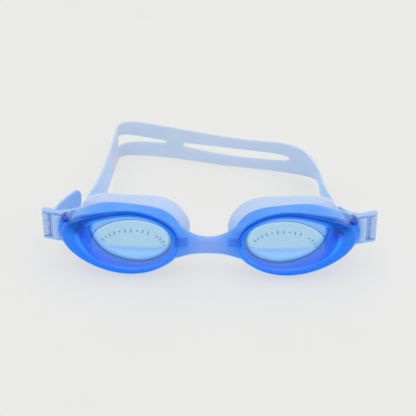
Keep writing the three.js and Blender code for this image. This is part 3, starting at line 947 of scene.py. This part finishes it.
class BuildClips(bpy.types.Operator):
    """Side clips that swivel on the pins and hold the strap"""

    bl_idname = "goggles.clips"
    bl_label = "Side clips"

    def execute(self, context):
        _, colours = settings(context)
        for hand, side in HANDS:
            clip = joined([
                *self.arms(side), self.post(side), self.bar(side), self.panel(side), self.knuckle(side),
                self.web(side)])
            paint(clip, [clip_polypropylene(colours)])
            finish(clip, f"strap_clip_{hand}", [f"side_clip_{hand}"], f"clip_{hand}")
        return {"FINISHED"}

    def flat(self, side, shape):
        """A shape's points, each given out from the pin and back, in their place on the table."""
        return [clip_point(side, out, back, 0)[:2] for out, back in shape]

    def arms(self, side):
        """The two flat arms, above and below the strap, with an eye for the end bar."""
        ear = [
            (END_OUT + END_RADIUS * math.cos(a), END_BACK + END_RADIUS * math.sin(a))
            for a in np.linspace(-math.pi / 2, math.pi / 2, 15)]
        shape = [
            (1.7, -0.7), (6.5, -1.2), *ear, (8, 2.1), (4.6, 2.4), (3.6, 4.0), (2.6, 4.8), (-0.7, 4.8),
            (-1.1, 4.4), (-1.1, 3.2), (-0.7, 2.8), (1.0, 2.8), (1.5, 2.2), (1.5, -0.4)]
        points = self.flat(side, shape)
        return [plate(points, low, low + ARM, 0.3) for low in (CLIP_LOW, CLIP_HIGH - ARM)]

    def post(self, side):
        """The upright between the arms, next to the pin."""
        shape = [(-1.1, 2.8), (1.5, 2.8), (1.5, 4.8), (-1.1, 4.8)]
        return plate(self.flat(side, shape), CLIP_LOW + 0.2, CLIP_HIGH - 0.2, 0.4)

    def bar(self, side):
        """The middle bar, which the strap turns round, with a foot on each arm."""
        low, high = CLIP_LOW + 0.1, CLIP_HIGH - 0.1
        profile = [
            (0, low), (1.8, low), (1.7, low + 1.2), (BAR_RADIUS, low + 1.8), (BAR_RADIUS, high - 1.8),
            (1.7, high - 1.2), (1.8, high), (0, high)]
        return turned(clip_point(side, BAR_OUT, BAR_BACK, 0), profile, 32)

    def panel(self, side):
        """The thin panel in front of the end bar, which closes the gap beside the strap."""
        shape = [(8.85, 0.1), (9.9, 0.1), (9.9, 1.4), (8.85, 1.4)]
        return plate(self.flat(side, shape), CLIP_LOW + 0.2, CLIP_HIGH - 0.2, 0.15)

    def knuckle(self, side):
        """The eye that turns on the pin, between the lens's two ears."""
        low, high = KNUCKLE_LOW, KNUCKLE_HIGH
        axis = Vector((side * PIN.x, PIN.y, 0))
        corners = [
            (1.35, low + 0.2), (1.55, low), (1.8, low), (2.0, low + 0.25), (2.0, high - 0.25), (1.8, high),
            (1.55, high), (1.35, high - 0.2)]
        return hoop([circle(axis, radius, height) for radius, height in corners], 48)

    def web(self, side):
        """The neck from the knuckle to the post."""
        shape = [(-0.9, 1.7), (1.1, 1.6), (1.1, 3.4), (-0.9, 3.4)]
        return plate(self.flat(side, shape), KNUCKLE_LOW, KNUCKLE_HIGH, 0.2)


class BuildEndBars(bpy.types.Operator):
    """Clear round bars across the outer ends of the clips"""

    bl_idname = "goggles.end_bars"
    bl_label = "End bars"

    def execute(self, context):
        _, colours = settings(context)
        low, high = CLIP_LOW + ARM + 0.35, CLIP_HIGH - ARM - 0.35
        lower_half = [                           # radii, and heights above the bar's lower end
            (0, -1.2), (0.9, -1.2), (1.1, -1.0), (1.1, -0.02), (1.7, 0), (2.15, 0.35), (2.2, 1.2), (2.2, 4.0),
            (1.85, 4.3), (1.85, 4.8), (2.2, 5.1)]
        profile = [(radius, low + up) for radius, up in lower_half]
        profile += [(radius, high - up) for radius, up in reversed(lower_half)]
        for hand, side in HANDS:
            bar = turned(clip_point(side, END_OUT, END_BACK, 0), profile, 40)
            paint(bar, [bar_acrylic(colours)])
            finish(bar, f"bar_{hand}", [f"end_bar_{hand}"], f"clip_{hand}")
        return {"FINISHED"}


# ------------------------------------------------------------------ strap

STRAP_LOW, STRAP_HIGH = 12.05, 26.15
STRAP_ROWS = [
    ((-66.6, 41, 11.4), (-66.4, 41, 30.2)), ((-65, 56, 9.4), (-64.7, 56, 29.2)),
    ((-63.7, 80, 6.9), (-63.4, 80, 26.6)), ((-63.5, 108, 4.1), (-63.2, 108, 23.9)),
    ((-63.4, 132, 1.8), (-63.3, 132, 21.8)), ((-63, 150, 0.3), (-63, 152, 22)),
    ((-61.8, 157, 0.3), (-61.4, 160.5, 22.8)), ((-57.5, 160.2, 0.3), (-57, 163.8, 23)),
    ((-50, 160.5, 0.3), (-50, 164.3, 22.8)), ((-36.6, 159, 0.3), (-36.5, 161.8, 21.8)),
    ((-17, 154, 0.3), (-17, 156, 20.8)), ((2.3, 147.5, 0.3), (2, 149, 20.4)),
    ((21.4, 142.4, 0.5), (21.2, 141.5, 20.7)), ((40, 136.7, 0.8), (38.5, 137.5, 21)),
    ((49, 132.7, 1.3), (47.5, 132.7, 21.5)), ((58.5, 127.3, 2), (53.5, 125, 22.4)),
    ((64, 122, 2.6), (57.5, 114.5, 23.5)), ((66.5, 112, 3.6), (60.5, 103, 24.5)),
    ((66, 95, 5.4), (62.3, 89, 26)), ((65.5, 78, 7.1), (63.3, 74, 27.4)),
    ((65.2, 58, 9.4), (64.4, 57, 28.8)), ((66.6, 41, 11.4), (66.4, 41, 30.2))]
AT_CLIP = ((3.1, 0.5), (2.9, 4), (1, 9), (-1.6, 14))
# Each tail's path, out along its clip and back, and the trim of its edges.
TAILS = {
    "left": (((7.7, 0.95), (9.3, 3.2), (10.5, 6.2), (11.4, 10), (12.2, 16), (12.5, 24), (12.4, 34.6)), 0.3),
    "right": (((7.7, 2.2), (5.2, 6), (2.8, 11), (1.5, 15.5), (1.6, 21.5)), 0.6)}
TAIL_CORNER = 5.5
SEAM = 4.2                       # rows from each end of the strap to the seam behind the gasket
WRAP = 2.3                       # radius of the turn round the clip's middle bar
# The columns across the strap, as shares of its width: the rounded edge, and the strip beside an opening.
EDGE, STRIP = 0.045, 0.2
# The two openings at the back of the head, which leave a small web between them: the rows that each starts
# and ends at, its half widths or its swell, as shares of the strap's width, and its taper.
LEFT_OPENING, LEFT_WIDE, LEFT_NARROW, LEFT_TAPER = (9.4, 13.45), 0.145, 0.015, 1.2
RIGHT_OPENING, RIGHT_SWELL, RIGHT_NARROW, RIGHT_TAPER = (13.75, 18.1), 0.1, 0.012, 0.7
CLOSED = 0.03                    # half width of the middle columns where the strap is closed


def strap_rails():
    """The strap's lower and upper edges, from the left clip round the head to the right clip, and the last
    place along them."""
    left, right = (
        [(clip_point(side, *at, STRAP_LOW), clip_point(side, *at, STRAP_HIGH)) for at in AT_CLIP]
        for _, side in HANDS)
    middle = [[Vector((x * MM, EYE.y + y * MM, z * MM)) for x, y, z in pair] for pair in STRAP_ROWS]
    whole = [*left, *middle, *reversed(right)]
    low, high = (spline([pair[k] for pair in whole], False) for k in (0, 1))
    return (lambda place: (Vector(low(place)), Vector(high(place)))), len(whole) - 1


def half_opening(place):
    """Half the width of the middle columns at a place along the strap."""
    start, end = LEFT_OPENING
    if start <= place <= end:
        return LEFT_WIDE - (LEFT_WIDE - LEFT_NARROW) * ((place - start) / (end - start)) ** LEFT_TAPER
    start, end = RIGHT_OPENING
    if start <= place <= end:
        return RIGHT_NARROW + RIGHT_SWELL * math.sin(math.pi * (place - start) / (end - start)) ** RIGHT_TAPER
    return CLOSED


def closed_shares(_):
    """The columns across the strap where it has no opening, as shares of its width."""
    return (0, EDGE, 0.25, 0.5 - CLOSED, 0.5 + CLOSED, 0.75, 1 - EDGE, 1)


def end_plane(rail, place):
    """The middle of the strap at a place along it, and the way that it runs there."""
    low, high = rail(place)
    before, after = rail(place - 0.02), rail(place + 0.02)
    way = (after[0] + after[1] - before[0] - before[1]).normalized()
    return (low + high) / 2, way


class BuildStrap(bpy.types.Operator):
    """Silicone strap: a split band round the head, a turn in each clip and two tails"""

    bl_idname = "goggles.strap"
    bl_label = "Strap"

    def execute(self, context):
        sizes, colours = settings(context)
        thickness = sizes.strap_thickness / MM
        rail, last = strap_rails()
        material = strap_silicone(colours)
        self.band(rail, last, thickness, material)
        for hand, side in HANDS:
            self.turn(rail, last, thickness, material, hand, side)
            self.tail(thickness, material, hand, side)
        return {"FINISHED"}

    def round_off(self, obj, material, name, nodes):
        """Rounds a stretch of the strap and names it. It is put on no body."""
        subdivide(obj, 1)
        paint(obj, [material])
        finish(obj, name, nodes, None, 60)

    def band(self, rail, last, thickness, material):
        """The whole run behind the gaskets, with its two openings and the small web between them."""
        places = np.linspace(SEAM, last - SEAM, 150)

        def shares(row):
            low, high = 0.5 - half_opening(places[row]), 0.5 + half_opening(places[row])
            return (0, EDGE, low - STRIP, low, high, high + STRIP, 1 - EDGE, 1)

        holes = [
            i for i, place in enumerate(places[:-1])
            if any(low <= place and places[i + 1] <= high for low, high in (LEFT_OPENING, RIGHT_OPENING))]
        band = ribbon([rail(place) for place in places], shares, thickness, holes)
        ends = [end_plane(rail, SEAM), end_plane(rail, last - SEAM)]
        keep_ends_square(band, ends)
        self.round_off(band, material, "strap_band", ["strap_back", "strap_side_left", "strap_side_right"])
        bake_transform(band)

    def turn(self, rail, last, thickness, material, hand, side):
        """The end of the strap: in through the clip and round its middle bar."""

        def from_end(place):
            return place if side < 0 else last - place

        rows = [rail(from_end(place)) for place in np.linspace(SEAM, 0.1, 22)]
        for angle in np.linspace(math.pi, TAU, 13):
            out, back = BAR_OUT + WRAP * math.cos(angle), BAR_BACK + WRAP * math.sin(angle)
            rows.append(tuple(clip_point(side, out, back, z) for z in (STRAP_LOW, STRAP_HIGH)))
        turn = ribbon(rows, closed_shares, thickness)
        start = end_plane(rail, from_end(SEAM))
        last_point = clip_point(side, BAR_OUT + WRAP, BAR_BACK, (STRAP_LOW + STRAP_HIGH) / 2)
        backwards = (clip_point(side, 0, 1, 0) - clip_point(side, 0, 0, 0)).normalized()
        keep_ends_square(turn, [start, (last_point, backwards)])
        self.round_off(turn, material, f"strap_end_{hand}", [f"strap_turn_{hand}"])
        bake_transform(turn)

    def tail(self, thickness, material, hand, side):
        """The free end of the strap, which stands behind its clip."""
        path, trim = TAILS[hand]
        line = spline(path, False)
        corner = min(TAIL_CORNER, (STRAP_HIGH - STRAP_LOW) / 2 - trim - 0.45)
        points = np.array([line(place) for place in np.linspace(0, len(path) - 1, 400)])
        reach = np.concatenate([[0], np.cumsum(np.linalg.norm(np.diff(points, axis=0), axis=1))])
        length = reach[-1]
        round_end = (length - corner * (1 - math.sin(a)) for a in np.linspace(0.15, math.pi / 2, 9))
        rows = []
        for along in [*np.linspace(0, length - corner, 14), *round_end]:
            over = max(0, along - (length - corner)) / corner
            cut = trim + corner * (1 - math.sqrt(max(0, 1 - over * over)))
            out, back = np.interp(along, reach, points[:, 0]), np.interp(along, reach, points[:, 1])
            rows.append(tuple(clip_point(side, out, back, z) for z in (STRAP_LOW + cut, STRAP_HIGH - cut)))
        tail = ribbon(rows, closed_shares, thickness)
        self.round_off(tail, material, f"tail_{hand}", [f"strap_tail_{hand}"])
        root, tip = clip_point(side, *path[0], 0), sum(rows[-1], Vector()) / 2
        tip.z = 0
        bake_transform(tail)


# ------------------------------------------------------------------ stage

CAMERA_ELEVATION = math.radians(27)
CAMERA_AZIMUTH = math.radians(1.3)
CAMERA_AIM_UP = math.radians(2.05)      # the camera looks this far above the nose bridge
CAMERA_LENS_MM = 93.2


class BuildStage(bpy.types.Operator):
    """Pale floor, soft studio light and the camera"""

    bl_idname = "goggles.stage"
    bl_label = "Stage"

    def execute(self, context):
        sizes, colours = settings(context)
        scene = context.scene
        select_only()
        bpy.ops.mesh.primitive_plane_add(size=6, location=(0, 1, 0))
        floor = context.object
        bpy.ops.object.transform_apply(location=True)
        floor.name = "floor"
        paint(floor, [floor_acrylic(colours)])
        self.lights(scene)
        self.camera(scene, sizes)
        scene.view_settings.view_transform = "Standard"
        return {"FINISHED"}

    def lights(self, scene):
        """A bright, even studio with three large soft lights."""
        world = bpy.data.worlds.new("studio")
        world.use_nodes = True
        back = world.node_tree.nodes["Background"]
        back.inputs["Color"].default_value = linear("FAFBFF")
        back.inputs["Strength"].default_value = 0.85
        scene.world = world
        lamps = (
            ("key", (-0.35, -0.5, 0.9), 0.7, 1.2), ("fill", (0.6, -0.3, 0.7), 0.7, 0.8),
            ("rear", (0, 0.7, 0.8), 0.9, 0.9))
        for name, place, size, power in lamps:
            data = bpy.data.lights.new(name, "AREA")
            data.size, data.energy = size, power
            lamp = bpy.data.objects.new(name, data)
            scene.collection.objects.link(lamp)
            lamp.location = place
            lamp.rotation_mode = "QUATERNION"
            lamp.rotation_quaternion = (-Vector(place)).to_track_quat("-Z", "Y")

    def camera(self, scene, sizes):
        """The camera in front of the lenses, which looks down at the nose bridge."""
        target = Vector((0, EYE.y, EYE.z))
        level = Vector((-math.sin(CAMERA_AZIMUTH), math.cos(CAMERA_AZIMUTH), 0))
        forward = level * math.cos(CAMERA_ELEVATION) - Vector((0, 0, math.sin(CAMERA_ELEVATION)))
        ray = level * math.cos(CAMERA_ELEVATION + CAMERA_AIM_UP)
        ray.z = -math.sin(CAMERA_ELEVATION + CAMERA_AIM_UP)
        data = bpy.data.cameras.new("camera")
        data.lens, data.sensor_width = CAMERA_LENS_MM, 36
        data.clip_start, data.clip_end = 0.01, 20
        camera = bpy.data.objects.new("camera", data)
        scene.collection.objects.link(camera)
        camera.location = target - ray * sizes.camera_distance
        camera.rotation_mode = "QUATERNION"
        camera.rotation_quaternion = forward.to_track_quat("-Z", "Y")
        scene.camera = camera


class GogglesPanel(bpy.types.Panel):
    """Lists the goggles' operators and settings"""

    bl_idname = "VIEW3D_PT_goggles"
    bl_label = "Swim goggles"
    bl_space_type = "VIEW_3D"
    bl_region_type = "UI"
    bl_category = "Goggles"

    def draw(self, context):
        for operator in OPERATORS:
            self.layout.operator(operator.bl_idname)
        for group in settings(context):
            for name in group.__annotations__:
                self.layout.prop(group, name)


OPERATORS = (
    BuildFrame, BuildLenses, BuildFilms, BuildGaskets, BuildPins, BuildClips, BuildEndBars, BuildStrap,
    BuildStage)
CLASSES = (GogglesSizes, GogglesColours, *OPERATORS, GogglesPanel)


def register():
    for made in CLASSES:
        bpy.utils.register_class(made)
    bpy.types.Scene.goggles_sizes = bpy.props.PointerProperty(type=GogglesSizes)
    bpy.types.Scene.goggles_colours = bpy.props.PointerProperty(type=GogglesColours)


def unregister():
    del bpy.types.Scene.goggles_colours
    del bpy.types.Scene.goggles_sizes
    for made in reversed(CLASSES):
        bpy.utils.unregister_class(made)


def main():
    register()
    for operator in OPERATORS:
        group, name = operator.bl_idname.split(".")
        getattr(getattr(bpy.ops, group), name)()


if __name__ == "__main__":
    main()
